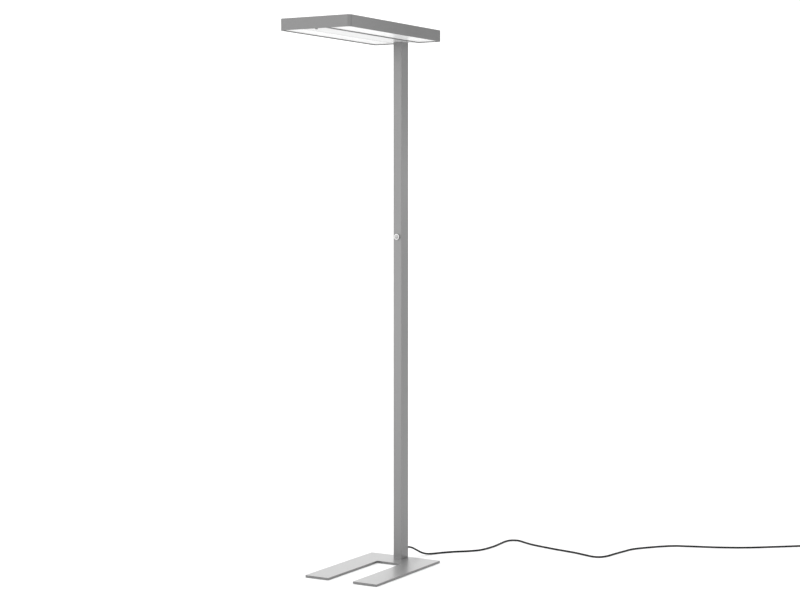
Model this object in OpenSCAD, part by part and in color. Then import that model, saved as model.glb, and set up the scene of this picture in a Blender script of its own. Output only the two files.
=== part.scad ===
// Office floor lamp: a flat U-shaped steel base, a slim rectangular column with
// a push button, and a flat head with two arms that light down and up.
// The origin is on the floor under the column's axis. +Z is up and the head
// and the legs of the base reach towards -Y, which is the lamp's front.

/* [Overall] */
// Height from the floor to the top of the head
total_h = 1985; // [1700:5:2200]

/* [Base] */
// Width of the base plate
base_w = 300; // [260:5:380]
// Reach of the base in front of the column's axis
base_front = 425; // [360:5:520]
// Reach of the base behind the column's axis
base_rear = 35; // [34:1:80]
// Thickness of the steel plate
base_t = 8; // [6:0.5:12]
// Width of the slot between the two legs
slot_w = 105; // [50:1:140]
// Distance from the column's axis to the closed end of the slot
slot_end = 85; // [60:1:150]
// Corner radius of the plate
base_corner_r = 2; // [1:0.5:10]
// Diameter of the glides under the plate
glide_d = 22; // [16:1:30]
// How far a glide stands below the plate
glide_proud = 1; // [0.5:0.25:3]

/* [Column] */
// Width of the column's profile
column_w = 35; // [35:1:50]
// Depth of the column's profile
column_d = 50; // [46:1:60]
// Wall of the column's profile
column_wall = 2.5; // [2:0.25:3.5]
// Outer corner radius of the profile
column_r = 1.2; // [0.5:0.1:3]
// Core diameter of the screw ports in the profile's corners
port_d = 5.2; // [4:0.1:6]
// Wall round a screw port
port_wall = 1.8; // [1.5:0.1:2.2]

/* [Button] */
// Height of the button's centre above the floor
button_z = 1223; // [700:1:1500]
// Diameter of the bezel ring
bezel_d = 22; // [21:0.5:25]
// How far the bezel stands out of the column
bezel_h = 8; // [8:0.5:11]
// Diameter of the push cap
cap_d = 15; // [13:0.5:15.5]
// How far the cap's dome stands out of the bezel
cap_proud = 3; // [2.5:0.5:5]
// Travel of the cap
button_travel = 1.8; // [1:0.1:2]

/* [Head] */
// Width of the head
head_w = 288; // [250:2:360]
// Reach of the head in front of the column's axis
head_front = 583; // [500:1:700]
// Reach of the head's arms behind the column's axis
head_rear = 53; // [50:1:120]
// Height of the head's frame
head_h = 41; // [41:1:50]
// Outer corner radius of the head in plan
head_corner_r = 14; // [8:1:30]
// Corner radius where an arm meets the rear notch
notch_r = 8; // [5:1:14]
// Wall of the head's frame
head_wall = 3; // [2.5:0.25:4]
// Clear width between the two rails of the middle section
mid_w = 86; // [80:1:100]
// Thickness of a rail
rail_t = 3; // [2.5:0.25:4]
// How far the diffusers lie above the frame's lower edge
diffuser_recess = 3; // [2.5:0.25:5]
// Thickness of the diffusers and of the uplight panels
panel_t = 3; // [2:0.25:4]
// Thickness of the sheet top cover
top_cover_t = 2; // [1.5:0.25:2.5]
// Thickness of the middle cover
mid_cover_t = 2; // [1.5:0.25:2.5]
// Margin from an arm's walls to its uplight window
window_margin = 12.5; // [11:0.5:20]
// Diameter of the sensor's lens
sensor_d = 14; // [10:0.5:16]
// Distance of the sensor behind the head's front face
sensor_inset = 14; // [13:0.5:30]

/* [Mains cord] */
// Outer diameter of the cord
cord_d = 7; // [6:0.1:8]
// Height of the cord's exit above the floor
cord_z = 42; // [36:1:60]
// Length of the strain relief behind the column
relief_l = 26; // [20:1:28]

/* [Hidden] */
$fn = 48;

// Colours
graphite = [0.55, 0.55, 0.56];
steel = [0.75, 0.76, 0.78];
opal = [0.96, 0.96, 0.95];
black = [0.06, 0.06, 0.07];
brass = [0.80, 0.66, 0.35];
white = [0.93, 0.93, 0.92];
copper_brown = [0.42, 0.24, 0.14];
wire_blue = [0.15, 0.35, 0.75];
wire_green = [0.35, 0.65, 0.20];

// Clearances
gap = 0.3;          // between pieces that are only set beside each other
slip = 0.1;         // between a screw and its port, or a sleeve and its hole
run = 0.05;         // radial clearance of the sliding stem
eps = 1;            // how far a cut runs past the face that it opens

// Heights
plate_z = glide_proud;
plate_top = plate_z + base_t;
head_z = total_h - head_h;
bracket_gap = 1;    // from the middle cover to the bracket plate
column_top = head_z + mid_cover_t + bracket_gap;

// Screws that hold the column to the plate and to the bracket
screw_head_d = 10;
screw_head_h = 3.5;
screw_play = 0.5;   // round a screw's head and below it in its recess
screw_hole_d = port_d + 0.8;
screw_l = 32;
screw_seat = plate_z + screw_head_h + screw_play;
port_r = port_d / 2 + port_wall;
port_merge = 1.9;   // how far a port runs into the profile's walls
port_x = column_w / 2 - column_wall - port_r + port_merge;
port_y = column_d / 2 - column_wall - port_r + port_merge;
port_gap = 2 * (port_x - port_r);
inner_w = port_gap - 2 * gap;   // width of what sits between the ports

// Glides
glide_sink = 1;     // depth of a glide's recess in the plate
glide_edge = 24;    // from the plate's edges to a glide's centre
glide_chamfer = 0.5;

// Button, measured outwards from the column's front face
sleeve_d = 12;
sleeve_l = 12;
sleeve_wall = 1.6;
bezel_floor = 1.8;
bezel_edge_r = 1.5;
cap_gap = 0.35;
stem_d = 6;
cap_under = bezel_h - 2;      // underside of the cap's skirt
cap_rim = bezel_h + 0.8;      // where the dome starts
stem_l = 14;
clip_play = 0.5;
clip_d = sleeve_d - 2 * sleeve_wall - 2 * clip_play;
clip_t = 0.8;
nut_t = 3;
nut_h = 22;
block_h = 24;
block_l = 20;
block_wall = 3.5;
block_step = 1;     // from the sleeve's end to the step that it stops above
bridge_l = 9;
bridge_play = 1;
bridge_w = 3;
bridge_t = 0.8;
contact_gap = 0.2;  // left between bridge and contacts when the cap is pressed home
contact_d = 1.8;
contact_x = 3;
contact_out = 3.5;  // how far the contacts stand out behind the block
contact_tip = stem_l + bridge_t + button_travel + contact_gap;
contact_tail = column_wall + nut_t + block_l + contact_out;
spring_wire = 0.5;
spring_r = 4.6;
spring_turns = 3;
spring_steps = 18;  // points in a turn

// Wires inside the column
core_d = 2.2;
core_pitch = 5;
core_y = 13;
switch_wire_d = 1.6;
switch_wire_y = 8;
wire_bend_r = 5;
clamp_h = 16;
clamp_l = 13;
clamp_floor = 3;    // from the sheath's end to the clamp's front face

// Strain relief, as walls round the cord
relief_neck = 2;
relief_collar = 3;
relief_flange = 4;
relief_root = 2.8;
relief_tip = 1.2;
relief_t = 2;       // thickness of its collar and of its flange
clamp_rear = column_d / 2 - column_wall - relief_t;

// Head, measured up from its lower edge
head_y0 = -head_front;
notch_gap = 2;      // from the column to the middle section's rear wall
notch_y = column_d / 2 + notch_gap + head_wall;
rail_x = mid_w / 2 + rail_t;
lip_w = 2.5;
lip_t = 1.2;
ledge_w = 3;
ledge_t = 1.5;
tray_ledge_z = 20;
tray_z = tray_ledge_z + ledge_t;
tray_t = 2;
cover_z = head_h - top_cover_t;
shelf_z = 8.5;
shelf_top = shelf_z + ledge_t;
cavity_r = head_corner_r - head_wall;
arm_mid_x = (rail_x + head_w / 2 - head_wall) / 2;
window_lap = 6;     // how far an uplight panel lies under the cover round its window
window_r = 2;       // least corner radius of a window
rib_t = 1.5;        // the middle cover's ribs

// Head bracket
bracket_t = 6;
bracket_front = 70;
shelf_front = bracket_front + 4;   // where the rails' shelves end
bracket_z = column_top - head_z;
flange_t = 4;
flange_h = 18;
flange_screw_z = bracket_z + bracket_t + flange_h / 2;
flange_screw_ys = [-58, -22, 14];
flange_screw_d = 4;
flange_screw_head_d = 7;
flange_screw_head_h = 2.5;
spigot_l = 25;
spigot_rear = 3;
wire_slot_play = 3;

// Boards and gear
board_t = 1.6;
board_w = 52;
board_end = 30;     // from a cavity's ends to the board
rail_hole_play = 0.8;
chip = 3;
chip_t = 0.7;
chip_pitch = 25;
chip_row_x = 14;
fin_h = 6;
fin_t = 1.5;
fin_xs = [32, 37];
gear_t = 1.5;
gear_flange_h = 8;
gear_front = head_y0 + 40;
gear_rear = -(bracket_front + 8);
gear_top = shelf_top + gear_t;
driver_w = 38;
driver_h = 22;
driver_rear = gear_rear - 67;
driver_l = 280;
driver_bevel = 3;
ear_l = 12;
ear_t = 3;
driver_screw_d = 3.2;
block_rear = gear_rear - 6;
terminal_w = 34;
terminal_l = 24;
terminal_h = 17;
pole_pitch = 10;
pole_d = 4;
pole_depth = 4;
core_row_z = gear_top + 7;
switch_row_z = gear_top + 12.5;
driver_wire_xs = [-9, -3, 3, 9];
boss_r = 4.5;
boss_x = mid_w / 2 - 4;
boss_z = gear_top + gear_flange_h + gap;
boss_ys = [head_y0 + 38, -300, -84];
cover_screw_d = 3.2;
cover_screw_head_d = 6;
cover_screw_head_h = 1.4;
cover_screw_l = 10;
feed_d = 2.4;
feed_y = driver_rear - driver_l - 20;
feed_z = tray_z + tray_t + fin_h + gap + feed_d / 2;
plug_in = [8, 10];  // size in plan of the connector on an uplight board

// Sensor
sensor_y = head_y0 + sensor_inset;
sensor_flange = 1.8;
sensor_flange_t = 2;
sensor_body_h = 14;
sensor_dome_h = 2.5;

// The cord's route from the strain relief to the coil, on the floor from the
// seventh point on
cord_r = cord_d / 2;
cord_sides = 10;
core_z = cord_z + cord_r + 1;  // where the cores leave the sheath
relief_y = column_d / 2 + relief_l;
route = [
  [0, relief_y, cord_z], [2, 62, 40.5], [8, 76, 35], [17, 93, 24.5], [27, 110, 13.5],
  [39, 131, 6], [56, 161, cord_r], [79, 196, cord_r], [110, 232, cord_r], [148, 267, cord_r],
  [178, 310, cord_r], [190, 385, cord_r], [188, 450, cord_r], [186, 490, cord_r],
  [187, 512, cord_r], [192, 529, cord_r], [204, 542, cord_r], [222, 546, cord_r],
  [241, 538, cord_r], [282, 514, cord_r], [340, 491, cord_r], [425, 468, cord_r],
  [510, 449, cord_r], [570, 428, cord_r], [603, 417, cord_r], [628, 422, cord_r],
  [644, 445, cord_r], [653, 490, cord_r], [666, 560, cord_r], [690, 640, cord_r],
  [780, 750, cord_r], [850, 785, cord_r], [950, 822, cord_r], [1050, 874, cord_r],
  [1150, 952, cord_r], [1230, 1019, cord_r], [1296, 1074, 4.5]
];

// The coil, its ties and the plug
coil_at = [1321, 1044];
tie_t = 1;
tie_angle = 20;      // the part of a turn that a tie covers
tie_turns = [80, 260];
coil_turn_r = 35;
tail = [[1352, 1067, 12], [1365, 1051, 13.5], [1378, 1035, 17], [1390, 1020, 18.5]];
plug_turn = -51;
plug_r = 18.5;
plug_l = 36;
plug_relief_l = 18;
plug_neck_r = cord_r + 1.5;
plug_boss_r = cord_r + 3;
groove_w = 6;
groove_depth = 2.5;
earth_w = 5;
earth_t = 1;
earth_from = plug_relief_l + 6;
pin_d = 4.8;
pin_l = 19;
pin_pitch = 19;

// ---------------------------------------------------------------- helpers

// What a rounding of radius r takes off the corner of a plan at x, y
module corner_cut(x, y, r, turn) {
  if (r > 0)
    translate([x, y]) rotate(turn) difference() {
      translate([-eps, -eps]) square(r + eps);
      translate([r, r]) circle(r);
    }
}

// A rectangle in plan with a radius of its own at each corner:
// front left, front right, rear right, rear left
module rounded_plate(x0, x1, y0, y1, r) {
  difference() {
    translate([x0, y0]) square([x1 - x0, y1 - y0]);
    corner_cut(x0, y0, r[0], 0);
    corner_cut(x1, y0, r[1], 90);
    corner_cut(x1, y1, r[2], 180);
    corner_cut(x0, y1, r[3], 270);
  }
}

module slab(z, h) {
  translate([0, 0, z]) linear_extrude(h) children();
}

// Both the part drawn and its mirror image across X
module both_sides() {
  children();
  mirror([1, 0, 0]) children();
}

// Frames whose +Z points out of the column's front or rear face at height z
module on_front(z) {
  translate([0, -column_d / 2, z]) rotate([90, 0, 0]) children();
}

module on_rear(z) {
  translate([0, column_d / 2, z]) rotate([-90, 0, 0]) children();
}

module at_ports() {
  for (x = [-port_x, port_x], y = [-port_y, port_y])
    translate([x, y, 0]) children();
}

// Screw with its head's seat at z = 0, the shank below and a hexagon socket
module socket_screw(head_d, head_h, shank_d, length) {
  difference() {
    cylinder(d = head_d, h = head_h);
    translate([0, 0, head_h / 2]) cylinder(d = head_d / 2, h = head_h, $fn = 6);
  }
  translate([0, 0, -length]) cylinder(d = shank_d, h = length);
}

// Outline of a countersunk screw with its flat top at z = 0
module flat_screw_shape(head_d, head_h, shank_d, length) {
  translate([0, 0, -head_h]) cylinder(d1 = shank_d, d2 = head_d, h = head_h);
  translate([0, 0, -length]) cylinder(d = shank_d, h = length);
}

// Cap of a sphere, width d across its flat underside at z = 0 and h high
module dome(d, h) {
  r = (d * d / 4 + h * h) / (2 * h);
  rotate_extrude() intersection() {
    translate([0, h - r]) circle(r, $fn = 2 * $fn);
    square([d / 2, h]);
  }
}

// Point at share t of the way from point i to the next, on a smooth curve
// through all the points of p
function smooth(p, i, t) =
  let (b = p[i], c = p[i + 1],
    a = i > 0 ? p[i - 1] : 2 * b - c,
    d = i + 2 < len(p) ? p[i + 2] : 2 * c - b)
  0.5 * (2 * b + (c - a) * t + (2 * a - 5 * b + 4 * c - d) * t * t
    + (3 * b - a - 3 * c + d) * t * t * t);

function curve(p, steps) = concat(
  [for (i = [0 : len(p) - 2], k = [0 : steps - 1]) smooth(p, i, k / steps)],
  [p[len(p) - 1]]);

function unit(v) = v / norm(v);

// Direction of a path at point i
function heading(p, i) = unit(p[min(i + 1, len(p) - 1)] - p[max(i - 1, 0)]);

// One ring of a tube round point i, drawn in the plane across the path
function ring(p, i, r, sides) =
  let (side = unit(cross(heading(p, i), [0, 0, 1])), up = cross(side, heading(p, i)))
  [for (k = [0 : sides - 1])
    p[i] + r * (cos(360 * k / sides) * side + sin(360 * k / sides) * up)];

module tube(p, r, sides) {
  n = len(p);
  rings = [for (i = [0 : n - 1]) each ring(p, i, r, sides)];
  walls = [for (i = [0 : n - 2], k = [0 : sides - 1])
    let (m = (k + 1) % sides)
    [i * sides + k, i * sides + m, (i + 1) * sides + m, (i + 1) * sides + k]];
  start = [for (k = [sides - 1 : -1 : 0]) k];
  end = [for (k = [0 : sides - 1]) (n - 1) * sides + k];
  polyhedron(rings, concat(walls, [start], [end]), convexity = 10);
}

// A wire that rises along +Z from z0, then turns towards -Y at height z1
// and runs on to y1
module riser(x, y, d, z0, z1, y1) {
  translate([x, y, z0]) cylinder(d = d, h = z1 - wire_bend_r - z0);
  translate([x, y - wire_bend_r, z1 - wire_bend_r]) rotate([90, 0, 90])
    rotate_extrude(angle = 90) translate([wire_bend_r, 0]) circle(d = d);
  translate([x, y1, z1]) rotate([-90, 0, 0]) cylinder(d = d, h = y - wire_bend_r - y1);
}

// ------------------------------------------------------------------- base

module base_outline() {
  difference() {
    rounded_plate(-base_w / 2, base_w / 2, -base_front, base_rear,
      [for (i = [0 : 3]) base_corner_r]);
    rounded_plate(-slot_w / 2, slot_w / 2, -base_front - eps, -slot_end,
      [0, 0, base_corner_r, base_corner_r]);
  }
}

// The glides' places: one under the column and three along each leg
module at_glides() {
  front = glide_edge - base_front;
  rear = base_rear - glide_edge;
  side = base_w / 2 - glide_edge;
  for (at = [[0, 0], for (x = [-side, side], y = [front, (front + rear) / 2, rear]) [x, y]])
    translate(at) children();
}

module base_plate() color(graphite) difference() {
  slab(plate_z, base_t) base_outline();
  at_ports() translate([0, 0, plate_z - eps]) cylinder(d = screw_hole_d, h = base_t + 2 * eps);
  at_ports() cylinder(d = screw_head_d + 2 * screw_play, h = screw_seat);
  at_glides() cylinder(d = glide_d + 2 * slip, h = plate_z + glide_sink);
}

module base_glides() color(black) at_glides() {
  cylinder(d1 = glide_d - 2 * glide_chamfer, d2 = glide_d, h = glide_proud / 2);
  translate([0, 0, glide_proud / 2]) cylinder(d = glide_d, h = glide_proud / 2 + glide_sink);
}

module column_screws() color(steel) at_ports() translate([0, 0, screw_seat]) rotate([180, 0, 0])
  socket_screw(screw_head_d, screw_head_h, port_d - 2 * slip, screw_l);

// ----------------------------------------------------------------- column

module column_profile() {
  half_w = column_w / 2;
  half_d = column_d / 2;
  difference() {
    rounded_plate(-half_w, half_w, -half_d, half_d, [for (i = [0 : 3]) column_r]);
    difference() {
      square([column_w - 2 * column_wall, column_d - 2 * column_wall], center = true);
      for (x = [-port_x, port_x], y = [-port_y, port_y]) translate([x, y]) circle(port_r);
    }
    for (x = [-port_x, port_x], y = [-port_y, port_y]) translate([x, y]) circle(d = port_d);
  }
}

module column_tube() color(graphite) difference() {
  slab(plate_top, column_top - plate_top) column_profile();
  on_front(button_z) translate([0, 0, -column_wall - eps])
    cylinder(d = sleeve_d + 2 * slip, h = column_wall + 2 * eps);
  on_rear(cord_z) translate([0, 0, -column_wall - eps])
    cylinder(r = cord_r + relief_neck + slip, h = column_wall + 2 * eps);
}

// ----------------------------------------------------------------- button

module button_bezel() color(steel) on_front(button_z) rotate_extrude() {
  // Ring with a rounded outer edge and the cap's well
  difference() {
    union() {
      square([bezel_d / 2, bezel_h - bezel_edge_r]);
      square([bezel_d / 2 - bezel_edge_r, bezel_h]);
      translate([bezel_d / 2 - bezel_edge_r, bezel_h - bezel_edge_r]) circle(bezel_edge_r);
    }
    translate([0, bezel_floor]) square([cap_d / 2 + cap_gap, bezel_h]);
    square([stem_d / 2 + run, bezel_h]);
  }
  // Sleeve through the column's wall
  translate([sleeve_d / 2 - sleeve_wall, -sleeve_l]) square([sleeve_wall, sleeve_l + bezel_floor / 2]);
}

// Flat nut that clamps the sleeve from inside, between the column's screw ports
module button_nut() color(steel) on_front(button_z)
  translate([0, 0, -column_wall - nut_t]) linear_extrude(nut_t) difference() {
    square([inner_w, nut_h], center = true);
    circle(d = sleeve_d + 2 * slip);
  }

// Domed cap on a stem
module button_cap() color(steel) on_front(button_z) {
  translate([0, 0, cap_rim]) dome(cap_d, bezel_h + cap_proud - cap_rim);
  translate([0, 0, cap_under]) cylinder(d = cap_d, h = cap_rim - cap_under);
  translate([0, 0, -stem_l]) cylinder(d = stem_d, h = cap_under + stem_l);
}

// Coil spring between the bezel's floor and the cap
module button_spring() color(steel) on_front(button_z) {
  rise = cap_under - bezel_floor - spring_wire;
  n = spring_steps;
  path = [for (k = [0 : n * spring_turns])
    [spring_r * cos(360 * k / n), spring_r * sin(360 * k / n),
     bezel_floor + spring_wire / 2 + rise * k / (n * spring_turns)]];
  tube(path, spring_wire / 2, 6);
}

// Retaining ring on the stem, behind the bezel's floor
module button_clip() color(steel) on_front(button_z) translate([0, 0, -clip_t]) difference() {
  cylinder(d = clip_d, h = clip_t);
  translate([0, 0, -eps]) cylinder(d = stem_d, h = clip_t + 2 * eps);
}

module contact_bridge() color(brass) on_front(button_z)
  translate([-bridge_l / 2, -bridge_w / 2, -stem_l - bridge_t]) cube([bridge_l, bridge_w, bridge_t]);

// Moulded block that screws onto the sleeve and carries the fixed contacts
module contact_block() color(black) on_front(button_z)
  translate([0, 0, -column_wall - nut_t - block_l]) difference() {
    translate([-inner_w / 2, -block_h / 2, 0]) cube([inner_w, block_h, block_l]);
    translate([0, 0, block_wall]) cylinder(d = bridge_l + 2 * bridge_play, h = block_l);
    translate([0, 0, column_wall + nut_t + block_l - sleeve_l - block_step])
      cylinder(d = sleeve_d + 2 * slip, h = block_l);
    for (x = [-contact_x, contact_x])
      translate([x, 0, -eps]) cylinder(d = contact_d, h = block_wall + 2 * eps);
  }

module fixed_contacts() color(brass) on_front(button_z)
  for (x = [-contact_x, contact_x])
    translate([x, 0, -contact_tail]) cylinder(d = contact_d, h = contact_tail - contact_tip);

// The two thin wires from the contacts up to the terminal block
module switch_wires() color(white) {
  tail_y = -column_d / 2 + contact_tail;
  for (x = [-contact_x, contact_x]) {
    translate([x, tail_y, button_z]) rotate([-90, 0, 0])
      cylinder(d = switch_wire_d, h = switch_wire_y - tail_y);
    translate([x, switch_wire_y, button_z]) sphere(d = switch_wire_d);
    riser(x, switch_wire_y, switch_wire_d, button_z, head_z + switch_row_z, block_rear);
  }
}

// ------------------------------------------------------- mains cord inlet

// Strain relief: collar inside the wall, neck through it, flange and taper outside
module cord_relief() color(black) on_rear(cord_z) rotate_extrude() difference() {
  union() {
    translate([0, -column_wall - relief_t]) square([cord_r + relief_collar, relief_t]);
    translate([0, -column_wall - eps]) square([cord_r + relief_neck, column_wall + 2 * eps]);
    square([cord_r + relief_flange, relief_t]);
    polygon([[0, 0], [cord_r + relief_root, 0], [cord_r + relief_root, 2 * relief_t],
      [cord_r + relief_tip, relief_l], [0, relief_l]]);
  }
  translate([0, -column_wall - relief_t - eps])
    square([cord_r, relief_l + column_wall + relief_t + 2 * eps]);
}

// Clamp block inside the column: the sheath ends in it and the cores leave at its top
module cord_clamp() color(white) difference() {
  translate([-inner_w / 2, clamp_rear - clamp_l, cord_z - clamp_h / 2])
    cube([inner_w, clamp_l, clamp_h]);
  translate([0, clamp_rear + eps, cord_z]) rotate([90, 0, 0])
    cylinder(d = cord_d, h = clamp_l - clamp_floor + eps);
  for (x = [-core_pitch, 0, core_pitch]) translate([x, core_y, core_z])
    cylinder(d = core_d, h = clamp_h);
}

module cord_sheath() color(black) translate([0, relief_y, cord_z]) rotate([90, 0, 0])
  cylinder(d = cord_d, h = relief_y - clamp_rear + clamp_l - clamp_floor);

module core(x) {
  riser(x, core_y, core_d, core_z, head_z + core_row_z, block_rear);
}

module wire_live() color(copper_brown) core(-core_pitch);
module wire_neutral() color(wire_blue) core(core_pitch);
module wire_earth() color(wire_green) core(0);

// ------------------------------------------------------------- free cord

module mains_cord() color(black) tube(curve(route, 2), cord_r, cord_sides);

// Section of the coil: two turns on two, and one in the valley between the upper
// ones. Pulled out by grow it is the outer section of a tie.
module coil_section(grow) {
  r = cord_r + grow;
  hull() translate([coil_turn_r, tie_t + cord_r]) {
    for (x = [-cord_r, cord_r], z = [0, cord_d]) translate([x, z]) circle(r, $fn = $fn / 2);
    translate([0, cord_d + cord_r * sqrt(3)]) circle(r, $fn = $fn / 2);
  }
}

// The wound rest of the cord as one ring
module cord_coil() color(black) translate(coil_at) rotate_extrude() coil_section(0);

// Two straps round the coil, on which it rests
module cord_ties() color(black) for (turn = tie_turns)
  translate(coil_at) rotate(turn) rotate_extrude(angle = tie_angle) difference() {
    coil_section(tie_t);
    coil_section(0);
  }

module cord_tail() color(black) tube(tail, cord_r, cord_sides);

// The plug lies on the floor, its pins pointing away from the coil
module at_plug() {
  end = tail[len(tail) - 1];
  translate([end[0], end[1], plug_r]) rotate([0, 90, plug_turn]) children();
}

module plug_body() color(black) at_plug() difference() {
  rotate_extrude() {
    polygon([[0, 0], [plug_neck_r, 0], [plug_boss_r, plug_relief_l], [0, plug_relief_l]]);
    translate([0, plug_relief_l]) difference() {
      square([plug_r, plug_l]);
      translate([plug_r, 0]) circle(plug_r - plug_boss_r);
    }
  }
  // Grooves for the earth contacts
  for (turn = [0, 180]) rotate(turn) translate([-groove_w / 2, plug_r - groove_depth, earth_from])
    cube([groove_w, groove_depth + eps, plug_l]);
}

module plug_pins() color(steel) at_plug()
  for (x = [-pin_pitch / 2, pin_pitch / 2]) translate([x, 0, plug_relief_l + plug_l]) {
    cylinder(d = pin_d, h = pin_l - pin_d / 2);
    translate([0, 0, pin_l - pin_d / 2]) sphere(d = pin_d);
  }

module plug_earth() color(steel) at_plug() for (turn = [0, 180]) rotate(turn)
  translate([-earth_w / 2, plug_r - groove_depth, earth_from])
    cube([earth_w, earth_t, plug_relief_l + plug_l - earth_from]);

// ------------------------------------------------------- head: the frame

// Plan of the head, pulled in by inset: two arms joined by the middle section
module head_plan(inset) {
  outer = head_corner_r - inset;
  both_sides() rounded_plate(mid_w / 2 + inset, head_w / 2 - inset, head_y0 + inset, head_rear - inset,
    [0, outer, outer, notch_r - inset]);
  half = mid_w / 2 + inset + eps;
  translate([-half, head_y0 + inset]) square([2 * half, notch_y - head_y0 - 2 * inset]);
}

// Plan of the +X arm's cavity, pulled in by inset
module arm_cavity(inset, least = 0) {
  outer = max(least, cavity_r - inset);
  rounded_plate(rail_x + inset, head_w / 2 - head_wall - inset,
    head_y0 + head_wall + inset, head_rear - head_wall - inset,
    [least, outer, outer, max(least, notch_r - head_wall - inset)]);
}

// Plan of the cavity between the rails
module mid_cavity(inset) {
  translate([-mid_w / 2 + inset, head_y0 + head_wall + inset])
    square([mid_w - 2 * inset, notch_y - head_y0 - 2 * head_wall - 2 * inset]);
}

// An arm is open from below and above. A lip carries the diffuser, one ledge
// the LED tray and one the top cover.
module arm_opening() {
  slab(-eps, head_h + 2 * eps) arm_cavity(ledge_w);
  slab(-eps, diffuser_recess - lip_t + eps) arm_cavity(0);
  slab(diffuser_recess - lip_t - eps, lip_t + 2 * eps) arm_cavity(lip_w);
  slab(diffuser_recess, tray_ledge_z - diffuser_recess) arm_cavity(0);
  slab(tray_z, cover_z - ledge_t - tray_z) arm_cavity(0);
}

// The middle is open too, apart from a shelf along each rail, which ends at
// the bracket, and the bosses for the top cover's screws
module mid_opening() difference() {
  slab(-eps, head_h + 2 * eps) mid_cavity(0);
  both_sides() translate([mid_w / 2 - lip_w, head_y0, shelf_z])
    cube([lip_w + eps, -shelf_front - head_y0, ledge_t]);
  both_sides() for (y = boss_ys) translate([boss_x, y, boss_z]) cylinder(r = boss_r, h = head_h);
}

module at_flange_screws() both_sides() for (y = flange_screw_ys)
  translate([mid_w / 2, y, flange_screw_z]) rotate([0, 90, 0]) children();

module at_cover_screws() both_sides() for (y = boss_ys) translate([boss_x, y, 0]) children();

module head_frame() color(graphite) translate([0, 0, head_z]) difference() {
  slab(0, head_h) head_plan(0);
  both_sides() arm_opening();
  mid_opening();
  slab(cover_z, head_h) head_plan(head_wall);
  at_flange_screws() translate([0, 0, -eps]) cylinder(d = flange_screw_d, h = rail_t + 2 * eps);
  at_cover_screws() translate([0, 0, cover_z - cover_screw_l])
    cylinder(d = cover_screw_d + 2 * slip, h = head_h);
  // Holes through the rails for the boards' wires
  translate([-rail_x - eps, feed_y, feed_z]) rotate([0, 90, 0])
    cylinder(d = feed_d + 2 * rail_hole_play, h = 2 * (rail_x + eps));
}

// ------------------------------------------------- head: bracket and gear

module wire_slot() {
  translate([-core_pitch - core_d, switch_wire_y - wire_slot_play])
    square([2 * (core_pitch + core_d), core_y - switch_wire_y + 2 * wire_slot_play]);
}

// Steel plate on the column's top with a spigot in the column and a flange
// against each rail
module head_bracket() color(steel) translate([0, 0, head_z + bracket_z]) {
  half = mid_w / 2 - gap;
  rear = notch_y - head_wall - gap;
  difference() {
    translate([-half, -bracket_front, 0]) cube([2 * half, bracket_front + rear, bracket_t]);
    slab(-eps, bracket_t + 2 * eps) wire_slot();
    at_ports() translate([0, 0, -eps]) cylinder(d = screw_hole_d, h = bracket_t + 2 * eps);
  }
  both_sides() difference() {
    translate([half - flange_t, -bracket_front, bracket_t])
      cube([flange_t, bracket_front + rear, flange_h]);
    for (y = flange_screw_ys) translate([half - flange_t - eps, y, flange_screw_z - bracket_z])
      rotate([0, 90, 0]) cylinder(d = flange_screw_d + 2 * slip, h = flange_t + 2 * eps);
  }
  translate([-inner_w / 2, -column_d / 2 + column_wall + gap, -spigot_l])
    cube([inner_w, column_d / 2 - column_wall - gap + spigot_rear, spigot_l]);
}

module bracket_screws() color(steel) translate([0, 0, head_z])
  at_flange_screws() translate([0, 0, -gap - flange_t]) rotate([180, 0, 0])
    socket_screw(flange_screw_head_d, flange_screw_head_h, flange_screw_d - 2 * slip,
      flange_t + gap + rail_t - slip);

module head_screws() color(steel) at_ports() translate([0, 0, column_top + bracket_t])
  socket_screw(screw_head_d, screw_head_h, port_d - 2 * slip, screw_l);

// Folded tray on the rails' shelves
module gear_tray() color(steel) translate([0, 0, head_z + shelf_top]) {
  half = mid_w / 2 - gap;
  translate([-half, gear_front, 0]) cube([2 * half, gear_rear - gear_front, gear_t]);
  both_sides() translate([half - gear_t, gear_front, gear_t])
    cube([gear_t, gear_rear - gear_front, gear_flange_h]);
}

module at_driver_screws() for (x = [-driver_w / 4, driver_w / 4],
    y = [driver_rear + ear_l / 2, driver_rear - driver_l - ear_l / 2])
  translate([x, y, head_z + gear_top]) children();

// Section of the driver's housing, with bevelled top edges
module driver_profile() {
  x = driver_w / 2;
  z = driver_h;
  b = driver_bevel;
  polygon([[-x, 0], [x, 0], [x, z - b], [x - b, z], [b - x, z], [-x, z - b]]);
}

// Driver housing with an ear at each end
module led_driver() color(white) difference() {
  union() {
    translate([0, driver_rear, head_z + gear_top]) rotate([90, 0, 0]) linear_extrude(driver_l)
      driver_profile();
    translate([-driver_w / 2, driver_rear - driver_l - ear_l, head_z + gear_top])
      cube([driver_w, driver_l + 2 * ear_l, ear_t]);
  }
  at_driver_screws() translate([0, 0, -eps]) cylinder(d = driver_screw_d + 2 * slip, h = ear_t + 2 * eps);
}

module driver_screws() color(steel) at_driver_screws() translate([0, 0, ear_t])
  socket_screw(1.7 * driver_screw_d, 2, driver_screw_d, ear_t);

// Terminal block with three screw poles: the mains cores enter low, the button's wires high
module terminal_block() color(white) translate([0, block_rear, head_z + gear_top]) difference() {
  translate([-terminal_w / 2, -terminal_l, 0]) cube([terminal_w, terminal_l, terminal_h]);
  for (x = [-1, 0, 1]) translate([x * pole_pitch, -terminal_l / 2, terminal_h - pole_depth])
    cylinder(d = pole_d, h = pole_depth + eps);
}

module driver_wires() color(black) for (x = driver_wire_xs)
  translate([x, driver_rear, head_z + core_row_z]) rotate([-90, 0, 0])
    cylinder(d = core_d, h = block_rear - terminal_l - driver_rear);

// ------------------------------------------------ head: covers and optics

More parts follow.
